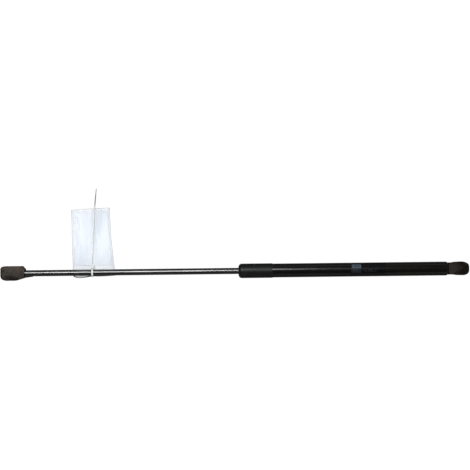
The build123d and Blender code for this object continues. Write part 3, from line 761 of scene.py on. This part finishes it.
def cable_tie():
    """The nylon tie in three shells: tail, loop and head."""
    whole = bmesh.new()
    for make in (tie_tail, tie_loop, tie_head):
        shape = bmesh.new()
        make(shape)
        bmesh.ops.recalc_face_normals(shape, faces=shape.faces)
        part = bpy.data.meshes.new("part")
        shape.to_mesh(part)
        shape.free()
        whole.from_mesh(part)
        bpy.data.meshes.remove(part)
    for face in whole.faces:
        face.smooth = face.calc_area() < 0.3 * MM * MM
    # The operators leave the faces in a different order each run, so they are put in one order.
    whole.verts.index_update()
    in_order = sorted(whole.faces, key=lambda face: sorted(vert.index for vert in face.verts))
    for number, face in enumerate(in_order):
        face.index = number
    whole.faces.sort()
    return new_piece("nylon_tie", whole, FINISHES["cable_tie"], "tag", "cable_tie")


POUCH = pouch()
stock_card()
cable_tie()

# --------------------------------------------------------------------------- table and light


def table():
    """The pale table that the strut lies on, lit evenly from within so that shadows on it stay faint."""
    shape = bmesh.new()
    bmesh.ops.create_grid(shape, x_segments=1, y_segments=1, size=6.0)
    mesh = bpy.data.meshes.new("table")
    shape.to_mesh(mesh)
    shape.free()
    mesh.transform(Matrix.Translation((0, 0, TABLE_Z - TABLE_GAP)))
    piece = bpy.data.objects.new("table", mesh)
    bpy.context.scene.collection.objects.link(piece)
    material, shader, inputs = new_material("table_white", Roughness=0.9, Specular_IOR_Level=0.1)
    clouds = shader.noise(shader.object_place(), 3.0, 2.0)
    shader.feed(inputs["Base Color"], shader.mix(clouds, (0.06, 0.06, 0.06, 1), (0.065, 0.065, 0.065, 1)))
    inputs["Emission Color"].default_value = (1, 1, 1, 1)
    seen = shader.node("ShaderNodeLightPath").outputs["Is Camera Ray"]
    shader.feed(inputs["Emission Strength"], shader.math("MULTIPLY", seen, 0.97))
    mesh.materials.append(material)


def softbox(name, place, aim, size, watts):
    """A rectangular lamp at a place, turned to shine on a point, its long side along X."""
    lamp = bpy.data.lights.new(name, "AREA")
    lamp.shape = "RECTANGLE"
    lamp.size, lamp.size_y = size
    lamp.energy = watts
    piece = bpy.data.objects.new(name, lamp)
    bpy.context.scene.collection.objects.link(piece)
    back = (Vector(place) - Vector(aim)).normalized()
    side = Vector((1, 0, 0))
    up = back.cross(side).normalized()
    side = up.cross(back).normalized()
    turn = Matrix((side, up, back)).transposed().to_4x4()
    piece.matrix_world = Matrix.Translation(place) @ turn
    return piece


MAIN_PLACE = (-0.56, 0.55, 1.38)
MAIN_AIM = (-0.48, 0.0, 0.0)
MAIN_SIZE = (0.72, 0.4)
MAIN_WATTS = 11
STRUT_MIDDLE = Vector((-0.3, 0.0, 0.0))
FILL_SIZE = (2.6, 1.6)
FILL_DISTANCE = 2.4
FILL_HEIGHT = 0.9
TOP_WATTS, SIDE_WATTS = 26, 20


def fill_lamps():
    """Wide soft lamps above and all round, which light dull surfaces but don't show in shiny ones."""
    places = [((0.0, 0.05, FILL_DISTANCE), TOP_WATTS)]
    for quarter in range(4):
        turn = quarter * math.pi / 2
        offset = (FILL_DISTANCE * math.sin(turn), -FILL_DISTANCE * math.cos(turn), FILL_HEIGHT)
        places.append((offset, SIDE_WATTS))
    for number, (offset, watts) in enumerate(places):
        place = STRUT_MIDDLE + Vector(offset)
        lamp = softbox(f"fill_lamp_{number}", place, STRUT_MIDDLE, FILL_SIZE, watts)
        lamp.visible_glossy = False


def room():
    """A pale wall to look at; for reflections a dim ceiling and a soft band of light near the ground."""
    world = bpy.data.worlds.new("room")
    world.use_nodes = True
    shader = Shader(world.node_tree)
    background = world.node_tree.nodes["Background"]
    background.inputs["Color"].default_value = (1, 1, 1, 1)
    seen = shader.node("ShaderNodeLightPath").outputs["Is Camera Ray"]
    aim = shader.node("ShaderNodeTexCoord").outputs["Generated"]
    height = shader.split(aim)[2]
    band = shader.math(
        "MULTIPLY", shader.ramp(height, -0.02, 0.2, smooth=True), shader.ramp(height, 0.62, 0.3, smooth=True)
    )
    dim = shader.math("ADD", 0.03, shader.math("MULTIPLY", band, 0.2))
    unseen = shader.math("SUBTRACT", 1.0, seen)
    wall = shader.math("MULTIPLY", seen, 0.9)
    shader.feed(background.inputs["Strength"], shader.math("ADD", wall, shader.math("MULTIPLY", unseen, dim)))
    bpy.context.scene.world = world


VIEW_WIDTH = 0.6094
LENS = 85.0
SENSOR = 36.0
TILT_IN_PICTURE = math.radians(0.66)
VIEW_MIDDLE = Vector((-0.2946, 0.0466, 0.0))


def camera():
    """Straight above, with the strut rising a little to the right."""
    data = bpy.data.cameras.new("camera")
    data.lens = LENS
    data.sensor_width = SENSOR
    piece = bpy.data.objects.new("camera", data)
    bpy.context.scene.collection.objects.link(piece)
    distance = VIEW_WIDTH * LENS / SENSOR
    turn = Matrix.Rotation(-TILT_IN_PICTURE, 4, "Z")
    axis_middle = Vector((VIEW_MIDDLE.x, 0, 0))
    across = turn @ Vector((0, VIEW_MIDDLE.y, 0))
    piece.matrix_world = Matrix.Translation(axis_middle + across + Vector((0, 0, distance))) @ turn
    data.clip_start, data.clip_end = 0.05, 50
    bpy.context.scene.camera = piece


table()
room()
softbox("main_lamp", MAIN_PLACE, MAIN_AIM, MAIN_SIZE, MAIN_WATTS)
fill_lamps()
camera()
bpy.context.scene.view_settings.view_transform = "Standard"
